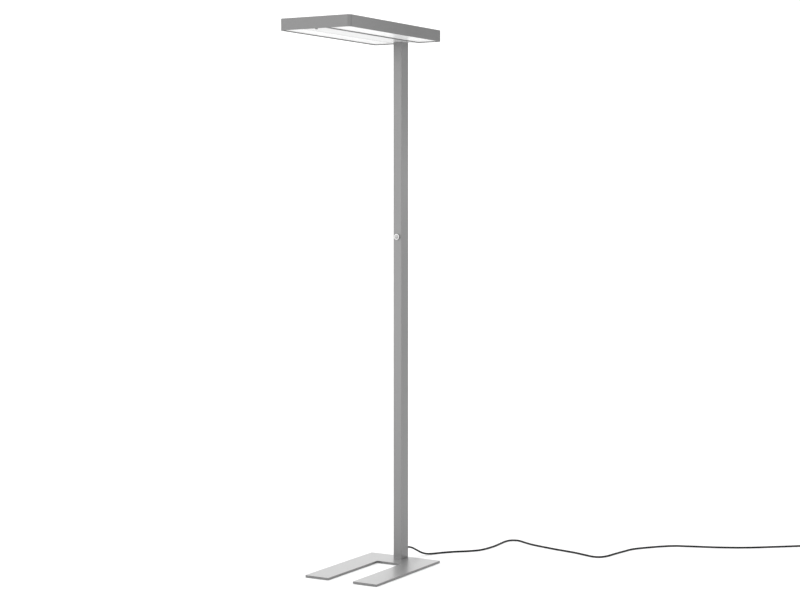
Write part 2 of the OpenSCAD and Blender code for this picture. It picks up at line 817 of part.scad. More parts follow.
module middle_cover() color(opal) translate([0, 0, head_z]) {
  difference() {
    slab(0, mid_cover_t) mid_cavity(gap);
    translate([-column_w / 2 - gap, -column_d / 2 - gap, -eps])
      cube([column_w + 2 * gap, column_d + 2 * notch_gap, mid_cover_t + 2 * eps]);
    translate([0, sensor_y, -eps]) cylinder(d = sensor_d + 2 * slip, h = mid_cover_t + 2 * eps);
  }
  both_sides() translate([mid_w / 2 - gap - rib_t, head_y0 + head_wall + gap, mid_cover_t])
    cube([rib_t, -shelf_front - head_y0 - head_wall - gap, shelf_z - gap - mid_cover_t]);
}

module sensor_body() color(black) translate([0, sensor_y, head_z + mid_cover_t]) {
  cylinder(d = sensor_d + 2 * sensor_flange, h = sensor_flange_t);
  translate([0, 0, sensor_flange_t]) cylinder(d = sensor_d, h = sensor_body_h);
}

// Fresnel lens: neck in the cover's hole and a shallow dome below it
module sensor_lens() color(black) translate([0, sensor_y, head_z]) {
  cylinder(d = sensor_d, h = mid_cover_t);
  rotate([180, 0, 0]) dome(sensor_d, sensor_dome_h);
}

module top_cover() color(graphite) translate([0, 0, head_z + cover_z]) difference() {
  slab(0, top_cover_t) head_plan(head_wall + gap);
  both_sides() slab(-eps, top_cover_t + 2 * eps) arm_cavity(window_margin, window_r);
  at_cover_screws() translate([0, 0, top_cover_t])
    flat_screw_shape(cover_screw_head_d + 2 * slip, cover_screw_head_h,
      cover_screw_d + 2 * slip, top_cover_t + eps);
}

module cover_screws() color(steel) translate([0, 0, head_z + head_h]) at_cover_screws()
  difference() {
    flat_screw_shape(cover_screw_head_d, cover_screw_head_h, cover_screw_d, cover_screw_l);
    translate([0, 0, -cover_screw_head_h / 2])
      cylinder(d = cover_screw_d / 2, h = cover_screw_head_h, $fn = 6);
  }

module uplight_panel() color(opal)
  slab(head_z + cover_z - panel_t, panel_t) arm_cavity(window_margin - window_lap, window_r);

module diffuser() color(opal) slab(head_z + diffuser_recess, panel_t) arm_cavity(gap);

// Heat-sink tray: a plate on the arm's ledge with fins beside the uplight board
module led_tray() color(steel) {
  slab(head_z + tray_z, tray_t) arm_cavity(gap);
  fin_l = head_front + head_rear - 2 * board_end;
  for (s = [-1, 1], x = fin_xs)
    translate([arm_mid_x + s * x - fin_t / 2, head_y0 + board_end, head_z + tray_z + tray_t])
      cube([fin_t, fin_l, fin_h]);
}

// LED board in the +X arm: a strip at height z with rows of chips on the side
// that s points to, up or down
module led_board(z, s) {
  y0 = head_y0 + head_wall + board_end;
  y1 = head_rear - head_wall - board_end;
  n = floor((y1 - y0) / chip_pitch);
  color(white) translate([arm_mid_x - board_w / 2, y0, z]) cube([board_w, y1 - y0, board_t]);
  color(brass) for (x = [-chip_row_x, chip_row_x], i = [0 : n - 1])
    translate([arm_mid_x + x - chip / 2, y0 + (i + 0.5) * (y1 - y0) / n - chip / 2,
      s > 0 ? z + board_t : z - chip_t]) cube([chip, chip, chip_t]);
}

module downlight_board() led_board(head_z + tray_z - board_t, -1);

module uplight_board() led_board(head_z + tray_z + tray_t, 1);

// From the driver's front end through each rail to the uplight boards
module board_wires() color(white) translate([0, feed_y, head_z]) {
  reach = arm_mid_x - board_w / 2;
  board_top = tray_z + tray_t + board_t;
  both_sides() {
    translate([0, 0, feed_z]) rotate([0, 90, 0]) cylinder(d = feed_d, h = reach);
    translate([reach, -plug_in[1] / 2, board_top])
      cube([plug_in[0], plug_in[1], feed_z + feed_d - board_top]);
  }
  translate([0, 0, feed_z]) rotate([-90, 0, 0])
    cylinder(d = feed_d, h = driver_rear - driver_l - feed_y);
}

// ---------------------------------------------------------------- drawing

base_plate();
base_glides();
column_screws();
column_tube();
button_bezel();
button_nut();
button_cap();
button_spring();
button_clip();
contact_bridge();
contact_block();
fixed_contacts();
switch_wires();
cord_relief();
cord_clamp();
cord_sheath();
wire_live();
wire_neutral();
wire_earth();
mains_cord();
cord_coil();
cord_ties();
cord_tail();
plug_body();
plug_pins();
plug_earth();
head_bracket();
bracket_screws();
head_screws();
head_frame();
middle_cover();
top_cover();
cover_screws();
mirror([1, 0, 0]) uplight_panel();  // uplight_panel_left
uplight_panel();  // uplight_panel_right
mirror([1, 0, 0]) diffuser();  // diffuser_left
diffuser();  // diffuser_right
mirror([1, 0, 0]) led_tray();  // led_tray_left
led_tray();  // led_tray_right
mirror([1, 0, 0]) downlight_board();  // downlight_board_left
downlight_board();  // downlight_board_right
mirror([1, 0, 0]) uplight_board();  // uplight_board_left
uplight_board();  // uplight_board_right
board_wires();
gear_tray();
led_driver();
driver_screws();
terminal_block();
driver_wires();
sensor_body();
sensor_lens();
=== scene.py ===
"""Office floor lamp: finishes, mains lead, studio and camera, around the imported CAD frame.

Lengths are in metres, apart from the small pieces' outlines, which are in mm. +Z is up, and the
lamp's head and the legs of its base reach towards -Y.
"""

import math

import bmesh
import bpy
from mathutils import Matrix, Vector


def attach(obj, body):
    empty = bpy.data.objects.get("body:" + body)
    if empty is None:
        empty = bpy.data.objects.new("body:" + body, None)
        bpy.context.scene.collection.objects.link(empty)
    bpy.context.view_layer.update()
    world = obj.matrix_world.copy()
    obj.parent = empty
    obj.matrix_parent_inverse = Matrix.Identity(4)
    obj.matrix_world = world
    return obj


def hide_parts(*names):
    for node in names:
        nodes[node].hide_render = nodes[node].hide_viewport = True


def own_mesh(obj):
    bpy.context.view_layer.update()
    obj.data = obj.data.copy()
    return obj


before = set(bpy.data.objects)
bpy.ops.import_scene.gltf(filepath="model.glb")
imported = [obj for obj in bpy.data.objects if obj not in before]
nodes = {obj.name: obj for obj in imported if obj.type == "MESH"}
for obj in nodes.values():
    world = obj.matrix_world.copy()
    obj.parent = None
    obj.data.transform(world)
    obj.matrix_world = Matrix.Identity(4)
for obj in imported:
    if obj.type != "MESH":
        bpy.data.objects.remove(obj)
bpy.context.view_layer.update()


# ------------------------------------------------------------------ camera

CAMERA_AT = (3.17952, -5.40422, 1.34683)
CAMERA_DOWN = 3.293      # degrees below the horizon
CAMERA_TURN = 30.499     # degrees to the lamp's right
CAMERA_LENS = 75.434     # mm, on a sensor CAMERA_SENSOR mm wide
CAMERA_SENSOR = 36
CAMERA_REACH = 1000      # so that the floor runs on to the horizon


def set_camera():
    """The photograph's camera: low, about 6.3 m away, with a long lens."""
    lens = bpy.data.cameras.new("studio_camera")
    lens.sensor_width = CAMERA_SENSOR
    lens.lens = CAMERA_LENS
    lens.clip_end = CAMERA_REACH
    camera = bpy.data.objects.new("studio_camera", lens)
    camera.location = CAMERA_AT
    camera.rotation_euler = (math.radians(90 - CAMERA_DOWN), 0, math.radians(CAMERA_TURN))
    bpy.context.collection.objects.link(camera)
    bpy.context.scene.camera = camera


# -------------------------------------------------------------- mains lead

LEAD_D = 0.007
LEAD_ROUNDNESS = 4       # how finely its section is rounded

# From the strain relief down to the floor and on to the coil
LEAD_ROUTE = [
    (0, 0.051, 0.042), (0.002, 0.062, 0.0405), (0.008, 0.076, 0.035), (0.017, 0.093, 0.0245),
    (0.027, 0.110, 0.0135), (0.039, 0.131, 0.006), (0.056, 0.161, 0.0035), (0.079, 0.196, 0.0035),
    (0.110, 0.232, 0.0035), (0.148, 0.267, 0.0035), (0.178, 0.310, 0.0035), (0.190, 0.385, 0.0035),
    (0.188, 0.450, 0.0035), (0.186, 0.490, 0.0035), (0.187, 0.512, 0.0035), (0.192, 0.529, 0.0035),
    (0.204, 0.542, 0.0035), (0.222, 0.546, 0.0035), (0.241, 0.538, 0.0035), (0.282, 0.514, 0.0035),
    (0.340, 0.491, 0.0035), (0.425, 0.468, 0.0035), (0.510, 0.449, 0.0035), (0.570, 0.428, 0.0035),
    (0.603, 0.417, 0.0035), (0.628, 0.422, 0.0035), (0.644, 0.445, 0.0035), (0.653, 0.490, 0.0035),
    (0.666, 0.560, 0.0035), (0.690, 0.640, 0.0035), (0.780, 0.750, 0.0035), (0.850, 0.785, 0.0035),
    (0.950, 0.822, 0.0035), (1.050, 0.874, 0.0035), (1.150, 0.952, 0.0035), (1.230, 1.019, 0.0035),
    (1.296, 1.074, 0.0045),
]

# From the coil to the plug
LEAD_TAIL = [
    (1.352, 1.067, 0.012), (1.365, 1.051, 0.0135), (1.378, 1.035, 0.017), (1.390, 1.020, 0.0185),
]

COIL_AT = (1.321, 1.044)
COIL_START = 130         # degrees, where the lead comes in
COIL_POINTS = 24         # in a turn

# Steps between two points of each stretch when it is smoothed
ROUTE_STEPS = 6
COIL_STEPS = 2
TAIL_STEPS = 5

# Where the lead lies after so many turns: (turns, radius, height). It goes round
# outside, moves in, climbs, lies in the valley on top, and ends outside again.
COIL_WAY = [
    (0.04, 0.0388, 0.0045), (0.15, 0.0385, 0.0045), (0.70, 0.0385, 0.0045),
    (0.95, 0.0315, 0.0045), (1.60, 0.0315, 0.0045),
    (1.85, 0.0315, 0.0115), (2.50, 0.0315, 0.0115),
    (2.75, 0.0350, 0.0176), (3.30, 0.0350, 0.0176),
    (3.50, 0.0385, 0.0115), (4.24, 0.0385, 0.0115),
]


def smooth_path(points, steps):
    """Points on a smooth curve through the given ones, steps to each stretch."""
    p = [Vector(q) for q in points]
    p = [2 * p[0] - p[1], *p, 2 * p[-1] - p[-2]]
    way = []
    for i in range(1, len(p) - 2):
        a, b, c, d = p[i - 1:i + 3]
        for k in range(steps):
            t = k / steps
            way.append(0.5 * (2 * b + (c - a) * t + (2 * a - 5 * b + 4 * c - d) * t * t
                              + (3 * b - a - 3 * c + d) * t ** 3))
    return way + [p[-2]]


def coil_place(turns):
    """The lead's radius and height in the coil after so many turns."""
    for (t0, r0, z0), (t1, r1, z1) in zip(COIL_WAY, COIL_WAY[1:]):
        if turns <= t1:
            s = (turns - t0) / (t1 - t0)
            s = s * s * (3 - 2 * s)
            return r0 + (r1 - r0) * s, z0 + (z1 - z0) * s
    return COIL_WAY[-1][1:]


def coil_points():
    """Points along the coil's turns, from where the lead comes in to where it leaves."""
    first, last = COIL_WAY[0][0], COIL_WAY[-1][0]
    count = round((last - first) * COIL_POINTS)
    points = []
    for i in range(count + 1):
        turns = first + (last - first) * i / count
        r, z = coil_place(turns)
        angle = math.radians(COIL_START - 360 * turns)
        points.append((COIL_AT[0] + r * math.cos(angle), COIL_AT[1] + r * math.sin(angle), z))
    return points


def lay_lead():
    """The whole mains lead as one round cable on one smooth line."""
    way = (smooth_path(LEAD_ROUTE, ROUTE_STEPS) + smooth_path(coil_points(), COIL_STEPS)
           + smooth_path(LEAD_TAIL, TAIL_STEPS))
    for at in way:
        at.z = max(at.z, LEAD_D / 2)
    curve = bpy.data.curves.new("mains_lead", "CURVE")
    curve.dimensions = "3D"
    curve.bevel_depth = 1    # the points carry the lead's radius, so that the curve's box is true
    curve.bevel_resolution = LEAD_ROUNDNESS
    curve.use_fill_caps = True
    spline = curve.splines.new("POLY")
    spline.points.add(len(way) - 1)
    for point, at in zip(spline.points, way):
        point.co = (*at, 1)
        point.radius = LEAD_D / 2
    spline.use_smooth = True
    lead = bpy.data.objects.new("mains_lead", curve)
    bpy.context.collection.objects.link(lead)
    length = sum((b - a).length for a, b in zip(way, way[1:]))
    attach(lead, "lamp")
    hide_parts("mains_cord", "cord_coil", "cord_tail")
    return lead


# ------------------------------------------------ pieces made of closed skins

# The next three sections give their lengths in mm, and MM turns them into metres
MM = 0.001
SHARP_ABOVE = 32         # degrees between two faces whose edge stays sharp


def skin_faces(loops, first):
    """Faces of a closed skin through loops of points, each with the same count."""
    count = len(loops[0])
    last = first + count * (len(loops) - 1)
    faces = [tuple(range(first + count - 1, first - 1, -1)), tuple(range(last, last + count))]
    for start in range(first, last, count):
        for i in range(count):
            a, b = start + i, start + (i + 1) % count
            faces.append((a, b, b + count, a + count))
    return faces


def skinned_piece(name, skins, replaced):
    """A piece of the lamp, made of closed skins, in place of a CAD node."""
    points, faces = [], []
    for loops in skins:
        faces += skin_faces(loops, len(points))
        points += [point for loop in loops for point in loop]
    data = bpy.data.meshes.new(name)
    data.from_pydata(points, [], faces)
    mesh = bmesh.new()
    mesh.from_mesh(data)
    bmesh.ops.recalc_face_normals(mesh, faces=mesh.faces)
    mesh.to_mesh(data)
    mesh.free()
    data.shade_smooth()
    data.set_sharp_from_angle(angle=math.radians(SHARP_ABOVE))
    piece = bpy.data.objects.new(name, data)
    bpy.context.collection.objects.link(piece)
    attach(piece, "lamp")
    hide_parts(replaced)
    return piece


# ------------------------------------------------------------ return spring

BUTTON_Z = 1.223                 # in metres
SPRING_ENDS = 26.8, 31           # the bezel's floor and the cap's skirt, ahead of the column's axis
SPRING_R = 4.6
SPRING_WIRE_R = 0.25
SPRING_TURNS = 3
SPRING_CLOSED = 0.4              # turns that lie flat at each end
SPRING_STEPS = 24                # points in a turn
SPRING_WIRE_SIDES = 8


def spring_under_cap():
    """The button's return spring, as it stands with the button not pressed."""
    floor, skirt = SPRING_ENDS
    low, high = floor + SPRING_WIRE_R, skirt - SPRING_WIRE_R
    loops = []
    for i in range(SPRING_TURNS * SPRING_STEPS + 1):
        turns = i / SPRING_STEPS
        climbed = (turns - SPRING_CLOSED) / (SPRING_TURNS - 2 * SPRING_CLOSED)
        ahead = low + (high - low) * min(1, max(0, climbed))
        angle = 2 * math.pi * turns
        loop = []
        for k in range(SPRING_WIRE_SIDES):
            side = 2 * math.pi * k / SPRING_WIRE_SIDES
            r = SPRING_R + SPRING_WIRE_R * math.cos(side)
            y = -ahead - SPRING_WIRE_R * math.sin(side)
            loop.append((r * math.cos(angle) * MM, y * MM, BUTTON_Z + r * math.sin(angle) * MM))
        loops.append(loop)
    spring = skinned_piece("return_spring", [loops], "button_spring")
    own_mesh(spring)
    return spring


# ----------------------------------- strain relief, straps and plug on the lead

# A ring and its groove: (part of the pitch, part of the groove's depth)
RING_AND_GROOVE = [(0.0, 0), (0.52, 0), (0.62, 1), (0.86, 1), (0.96, 0)]


def flex_rings(start, end, r_start, r_end, rings, depth):
    """Outline (place, radius) of a taper with ring grooves that let it bend."""
    outline = []
    pitch = (end - start) / rings
    for i in range(rings):
        for part, cut in RING_AND_GROOVE:
            at = start + (i + part) * pitch
            taper = r_start + (r_end - r_start) * (at - start) / (end - start)
            outline.append((at, taper - cut * depth))
    return outline


RELIEF_AT = (0, 25, 42)          # where the lead's axis meets the column's rear
RELIEF_SIDES = 48

# Outlines, as (place behind the column, radius)
RELIEF_COLLAR = [(-4.5, 3.6), (-4.5, 6.2), (-4.2, 6.5), (-2.6, 6.5), (-2.6, 5.5), (0, 5.5)]
RELIEF_FLANGE = [(0, 7.1), (0.3, 7.5), (1.4, 7.5), (2.0, 7.0), (2.0, 6.3), (3.6, 6.2)]
RELIEF_TIP = [(24.0, 4.85), (25.6, 4.7), (26.0, 4.3), (26.0, 3.6)]


def relief_on_column():
    """Tapered strain relief with ring grooves and a flange on the column's rear."""
    rings = flex_rings(start=4.0, end=23.5, r_start=6.2, r_end=4.9, rings=6, depth=1.2)
    outline = RELIEF_COLLAR + RELIEF_FLANGE + rings + RELIEF_TIP
    x0, y0, z0 = RELIEF_AT
    turns = [2 * math.pi * i / RELIEF_SIDES for i in range(RELIEF_SIDES)]
    loops = [[((x0 + r * math.cos(t)) * MM, (y0 + y) * MM, (z0 + r * math.sin(t)) * MM)
              for t in turns] for y, r in outline]
    return skinned_piece("lead_relief", [loops], "cord_relief")


# The strands that a strap goes round: (radius, height) in the coil, from the middle of its lowest row
STRANDS_AT = 35, 4.5
STRANDS = [(-3.5, 0), (3.5, 0), (-3.5, 7), (3.5, 7), (0, 13.06)]
STRAND_R = 3.5
STRAP_TURNS = [90, 270]          # where the straps go round the coil
STRAP_W = 10
STRAP_T = 0.44
STRAP_OVERLAP = 105              # degrees that its end lies over its start
STRAP_START = -20                # degrees from straight out
STRAP_STEP = 5                   # degrees between two points
STRAP_PLAY = 0.04                # between the strap and the strands
STRAP_LAP_PLAY = 0.03            # between its end and its start
STRAP_RISE = 330, 360            # degrees over which its end climbs onto its start
STRAP_TIP = 0.45                 # width of the rounded end, as a part of the strap's
STRAP_TIP_GROWTH = 14            # how fast it widens from there, per strap length

# Its section, as parts of half its width and of half its thickness
STRAP_SECTION = [
    (-1, -0.5), (-0.94, -1), (-0.5, -1), (0, -1), (0.5, -1), (0.94, -1), (1, -0.5),
    (1, 0.5), (0.94, 1), (0.5, 1), (0, 1), (-0.5, 1), (-0.94, 1), (-1, 0.5),
]


def strap_line():
    """The strap's way round the strands: (radius, height, outward direction, how far along)."""
    line = []
    whole = 360 + STRAP_OVERLAP
    held = None
    rise_from, rise_to = STRAP_RISE
    for turn in range(0, whole + 1, STRAP_STEP):
        angle = math.radians(turn + STRAP_START)
        out = Vector((math.cos(angle), math.sin(angle)))
        strand = max(STRANDS, key=lambda at: round(out.dot(Vector(at)), 6))
        lift = STRAP_T / 2 + STRAP_PLAY
        if turn > rise_from:
            lift += (STRAP_T + STRAP_LAP_PLAY) * min(1, (turn - rise_from) / (rise_to - rise_from))
        for at in ([held] if held and held != strand else []) + [strand]:
            middle = Vector(STRANDS_AT) + Vector(at) + out * (STRAND_R + lift)
            line.append((middle, out, turn / whole))
        held = strand
    return line


def strap_loops(round_coil):
    """Loops of one strap: a flat band with rounded edges and a rounded end."""
    loops = []
    for middle, out, along in strap_line():
        half_w = STRAP_W / 2 * min(1, STRAP_TIP + STRAP_TIP_GROWTH * (1 - along))
        loop = []
        for across, up in STRAP_SECTION:
            r, z = middle + out * (up * STRAP_T / 2)
            angle = math.radians(round_coil) + across * half_w / r
            loop.append((COIL_AT[0] + r * MM * math.cos(angle),
                         COIL_AT[1] + r * MM * math.sin(angle), z * MM))
        loops.append(loop)
    return loops


def straps_on_coil():
    """The two straps that hold the coil."""
    return skinned_piece("lead_ties", [strap_loops(turn) for turn in STRAP_TURNS], "cord_ties")


PLUG_AT = (1390, 1020, 18.5)     # where the lead enters the plug
PLUG_TURN = math.radians(-51)
PLUG_R = 18.5
PLUG_BOSS = 18, 6.5              # where the tapered relief ends and the body starts
PLUG_SHOULDER = 9                # length of the rounded shoulder
SHOULDER_STEPS = 8
SHOULDER_FULLNESS = 0.8          # below 1, it rises sooner than a quarter of a sine
PLUG_FRONT = 54
EARTH_HALF_W = 3                 # half of a groove for an earth contact
EARTH_FLOOR = 16                 # from the plug's axis to a groove's floor
EARTH_FROM = 25.5                # where the grooves start
EARTH_STEEPNESS = 0.98           # a groove's width at its floor, as a part of its width outside
FLAT_SHARE = 0.6                 # the same where there is no groove
GRIP = 31, 47                    # the ribbed part of the body
GRIP_DEPTH = 0.8
GRIP_RAMP = 1.5                  # over which the ribs rise
RIB_EVERY = 4                    # points round the plug
PLUG_STEPS = 48                  # points on each half between the grooves

# Outlines, as (place, radius): where the lead enters, and the front's edge
PLUG_ENTRY = [(0, 4.6), (0.4, 5.0)]
PLUG_EDGE = [(PLUG_FRONT - 1, PLUG_R), (PLUG_FRONT - 0.3, PLUG_R - 0.3), (PLUG_FRONT, PLUG_R - 1)]
# A shallow ring in the front face, as (depth, radius)
PLUG_FACE = [(0, 15.4), (0, 14.6), (0.5, 14.4), (0.5, 13.6), (0, 13.4), (0, 9)]


def plug_outline():
    """The plug along its axis: (place, radius, depth of the grip, earth groove or not)."""
    start, boss_r = PLUG_BOSS
    rings = flex_rings(start=1.5, end=16.5, r_start=5.1, r_end=6.3, rings=5, depth=1.0)
    outline = [(s, r, 0, False) for s, r in PLUG_ENTRY + rings]
    for i in range(SHOULDER_STEPS + 1):
        s = start + PLUG_SHOULDER * i / SHOULDER_STEPS
        rise = math.sin(math.pi / 2 * i / SHOULDER_STEPS) ** SHOULDER_FULLNESS
        r = boss_r + (PLUG_R - boss_r) * rise
        if s > EARTH_FROM and not outline[-1][3]:
            outline.append((EARTH_FROM, outline[-1][1], 0, False))
            outline.append((EARTH_FROM, outline[-1][1], 0, True))
        outline.append((s, r, 0, s > EARTH_FROM))
    low, high = GRIP
    outline += [(low, PLUG_R, 0, True), (low + GRIP_RAMP, PLUG_R, GRIP_DEPTH, True),
                (high - GRIP_RAMP, PLUG_R, GRIP_DEPTH, True), (high, PLUG_R, 0, True)]
    outline += [(s, r, 0, True) for s, r in PLUG_EDGE]
    return outline + [(PLUG_FRONT - depth, r, 0, False) for depth, r in PLUG_FACE]


def plug_loop(s, r, grip, grooved):
    """Points round the plug, with its two earth grooves and the ribs of its grip."""
    edge = min(EARTH_HALF_W, r * FLAT_SHARE)
    out = math.sqrt(r * r - edge * edge)
    inner = edge * (EARTH_STEEPNESS if grooved else FLAT_SHARE)
    floor = EARTH_FLOOR if grooved else math.sqrt(r * r - inner * inner)
    half = [(-edge, out), (-inner, floor), (inner, floor), (edge, out)]
    side = math.asin(edge / r)
    for i in range(1, PLUG_STEPS):
        turn = side + (math.pi - 2 * side) * i / PLUG_STEPS
        ribbed = r - (grip if i % RIB_EVERY == RIB_EVERY // 2 else 0)
        half.append((ribbed * math.sin(turn), ribbed * math.cos(turn)))
    x0, y0, z0 = PLUG_AT
    ahead, aside = math.cos(PLUG_TURN), math.sin(PLUG_TURN)
    return [((x0 + s * ahead - y * aside) * MM, (y0 + s * aside + y * ahead) * MM, (z0 - x) * MM)
            for x, y in half + [(-x, -y) for x, y in half]]


def plug_on_lead():
    """Moulded plug with a ringed relief, a ribbed grip and grooves for the earth contacts."""
    return skinned_piece("lead_plug", [[plug_loop(*row) for row in plug_outline()]], "plug_body")


# ---------------------------------------------------------------- finishes

class Signal:
    """An output of a node in a finish. Arithmetic on it adds Math nodes."""

    def __init__(self, tree, socket):
        self.tree = tree
        self.socket = socket

    def node(self, kind, settings=None, inputs=None, output=0):
        """Adds a node: its settings first, then the values or links of its inputs."""
        made = self.tree.nodes.new(kind)
        for name, value in (settings or {}).items():
            setattr(made, name, value)
        for name, value in (inputs or {}).items():
            if isinstance(value, Signal):
                self.tree.links.new(value.socket, made.inputs[name])
            else:
                made.inputs[name].default_value = value
        return Signal(self.tree, made.outputs[output])

    def maths(self, operation, *values):
        return self.node("ShaderNodeMath", {"operation": operation}, dict(enumerate(values)))

    def __add__(self, other):
        return self.maths("ADD", self, other)

    def __radd__(self, other):
        return self.maths("ADD", other, self)

    def __mul__(self, other):
        return self.maths("MULTIPLY", self, other)

    def __rmul__(self, other):
        return self.maths("MULTIPLY", other, self)

    def __pow__(self, other):
        return self.maths("POWER", self, other)

    def __abs__(self):
        return self.maths("ABSOLUTE", self)

    def at_least(self, lowest):
        return self.maths("MAXIMUM", self, lowest)

    def along(self, direction):
        """How far a vector reaches along a direction."""
        return self.node("ShaderNodeVectorMath", {"operation": "DOT_PRODUCT"},
                         {0: self, 1: direction}, output="Value")


def grey(value):
    return (value, value, value, 1)


class Finish(Signal):
    """A finish with one shader, and the ways to vary it over a surface."""

    def __init__(self, name, **sockets):
        self.material = bpy.data.materials.new(name)
        self.material.use_nodes = True
        tree = self.material.node_tree
        tree.nodes.clear()
        self.shader = tree.nodes.new("ShaderNodeBsdfPrincipled")
        output = tree.nodes.new("ShaderNodeOutputMaterial")
        tree.links.new(self.shader.outputs[0], output.inputs[0])
        super().__init__(tree, self.shader.outputs[0])
        for socket, value in sockets.items():
            self.set(socket.replace("_", " ").title().replace("Ior", "IOR"), value)

    def set(self, socket, value):
        """Puts a value or a signal on one of the shader's sockets."""
        if isinstance(value, Signal):
            self.tree.links.new(value.socket, self.shader.inputs[socket])
        else:
            self.shader.inputs[socket].default_value = value

    def place(self, scale=(1, 1, 1)):
        """Places on the part in metres, stretched by scale."""
        at = self.node("ShaderNodeTexCoord", output="Object")
        return self.node("ShaderNodeMapping", {}, {"Vector": at, "Scale": scale})

    def noise(self, place, size, detail=2, roughness=0.5):
        """Soft noise from 0 to 1 whose grains are about size metres wide."""
        return self.node("ShaderNodeTexNoise", {"noise_dimensions": "3D"},
                         {"Vector": place, "Scale": 1 / size, "Detail": detail, "Roughness": roughness})

    def cells(self, place, size, randomness):
        """Distance from the middles of small cells, in cells of about size metres."""
        return self.node("ShaderNodeTexVoronoi", {"feature": "F1", "voronoi_dimensions": "3D"},
                         {"Vector": place, "Scale": 1 / size, "Randomness": randomness})

    def spread(self, noise, low, high):
        """Spreads noise, most of which lies between NOISE_LOW and NOISE_HIGH, from low to high."""
        return self.node("ShaderNodeMapRange", {},
                         {"Value": noise, "From Min": NOISE_LOW, "From Max": NOISE_HIGH,
                          "To Min": low, "To Max": high})

    def blend(self, factor, first, second):
        """A colour between two, by a factor. The node's colour sockets are 6 and 7."""
        return self.node("ShaderNodeMix", {"data_type": "RGBA"},
                         {0: factor, 6: first, 7: second}, output=2)

    def bump(self, height, depth, strength, normal=None):
        """A surface raised by height times depth metres."""
        inputs = {"Height": height, "Distance": depth, "Strength": strength}
        if normal is not None:
            inputs["Normal"] = normal
        return self.node("ShaderNodeBump", {}, inputs)

    def soft_edges(self, radius):
        """The surface's direction with its sharp edges rounded."""
        return self.node("ShaderNodeBevel", {"samples": 4}, {"Radius": radius})


NOISE_LOW = 0.25
NOISE_HIGH = 0.75
FLAKE = 0.0007           # metres across, in the metallic coats
TURNED_RINGS = 2500      # tool marks in a metre of the button's radius


def coat_grain(f, cloud_size):
    """The flakes and the soft clouds of a metallic coat, and the two together."""
    flakes = f.noise(f.place(), FLAKE, detail=3, roughness=0.7)
    cloud = f.noise(f.place(), cloud_size)
    return flakes, cloud, 0.6 * flakes + 0.4 * cloud


def silver_coat():
    """Silver-grey metallic powder coat of the head's frame and top cover."""
    f = Finish("silver_coat", metallic=0.8, coat_weight=0.05, coat_roughness=0.3)
    flakes, cloud, shade = coat_grain(f, cloud_size=0.06)
    f.set("Base Color", f.blend(shade, grey(0.172), grey(0.210)))
    f.set("Roughness", f.spread(cloud, 0.36, 0.42))
    f.set("Normal", f.bump(flakes, depth=0.00004, strength=0.35, normal=f.soft_edges(0.0006)))
    return f.material


def base_coat():
    """Silver-grey coat of the base plate, satin lacquered, with painted shade on the plate's upright
    edges, which get a darker copy of the coat.
    """
    f = Finish("base_coat", metallic=0.8, coat_weight=0.75, coat_roughness=0.30)
    flakes, cloud, shade = coat_grain(f, cloud_size=0.05)
    face = f.blend(shade, grey(0.280), grey(0.343))
    # Painted shade: a darker copy of the coat for the plate's upright edges, blended in by how far each
    # face turns from straight up
    edge = f.blend(shade, grey(0.155), grey(0.190))
    upward = f.node("ShaderNodeNewGeometry", output="True Normal").along((0, 0, 1))
    f.set("Base Color", f.blend(abs(upward), edge, face))
    f.set("Roughness", f.spread(cloud, 0.38, 0.44))
    f.set("Normal", f.bump(flakes, depth=0.00003, strength=0.3, normal=f.soft_edges(0.0004)))
    return f.material


def drawn_profile():
    """Silver-grey column profile with the fine lines of its drawing along Z."""
    f = Finish("drawn_profile", metallic=0.8, coat_weight=0.05, coat_roughness=0.3)
    lines = f.noise(f.place(scale=(1, 1, 0.004)), 0.0016, detail=3, roughness=0.6)
    flakes = f.noise(f.place(), FLAKE, roughness=0.7)
    f.set("Base Color", f.blend(0.6 * lines + 0.4 * flakes, grey(0.194), grey(0.243)))
    f.set("Roughness", f.spread(lines, 0.32, 0.40))
    f.set("Normal", f.bump(lines, depth=0.00005, strength=0.3))
    return f.material


def opal_panel():
    """Opal light panel with a fine prismatic face."""
    f = Finish("opal_panel", roughness=0.34, coat_weight=0.15, coat_roughness=0.25)
    prisms = f.cells(f.place(), 0.0022, randomness=0.15)
    f.set("Base Color", f.blend(f.noise(f.place(), 0.03), grey(0.75), grey(0.78)))
    f.set("Normal", f.bump(prisms, depth=0.0004, strength=0.2))
    return f.material


def cover_coat():
    """Light semi-gloss coat of the middle cover."""
    f = Finish("cover_coat", coat_weight=0.35, coat_roughness=0.18)
    peel = f.noise(f.place(), 0.004)
    f.set("Base Color", f.blend(f.noise(f.place(), 0.05), grey(0.54), grey(0.57)))
    f.set("Roughness", f.spread(peel, 0.30, 0.36))
    f.set("Normal", f.bump(peel, depth=0.00006, strength=0.3))
    return f.material


def turned_metal(name, low, high, rough_low, rough_high):
    """Turned metal of the button, with fine rings round its axis."""
    f = Finish(name, metallic=1.0)
    from_axis = f.node("ShaderNodeMapping", {},
                       {"Vector": f.place(), "Location": (0, 0, -BUTTON_Z), "Scale": (1, 0, 1)})
    radius = f.node("ShaderNodeVectorMath", {"operation": "LENGTH"}, {0: from_axis}, output="Value")
    rings = f.node("ShaderNodeTexNoise", {"noise_dimensions": "1D"},
                   {"W": radius * TURNED_RINGS, "Detail": 2})
    cloud = f.noise(f.place(), 0.003)
    f.set("Base Color", f.blend(0.5 * rings + 0.5 * cloud, grey(low), grey(high)))
    f.set("Roughness", f.spread(rings, rough_low, rough_high))
    f.set("Normal", f.bump(rings, depth=0.00003, strength=0.4, normal=f.soft_edges(0.0003)))
    return f.material


def turned_ring():
    return turned_metal("turned_ring", 0.56, 0.63, rough_low=0.14, rough_high=0.24)


def satin_cap():
    return turned_metal("satin_cap", 0.36, 0.41, rough_low=0.24, rough_high=0.34)


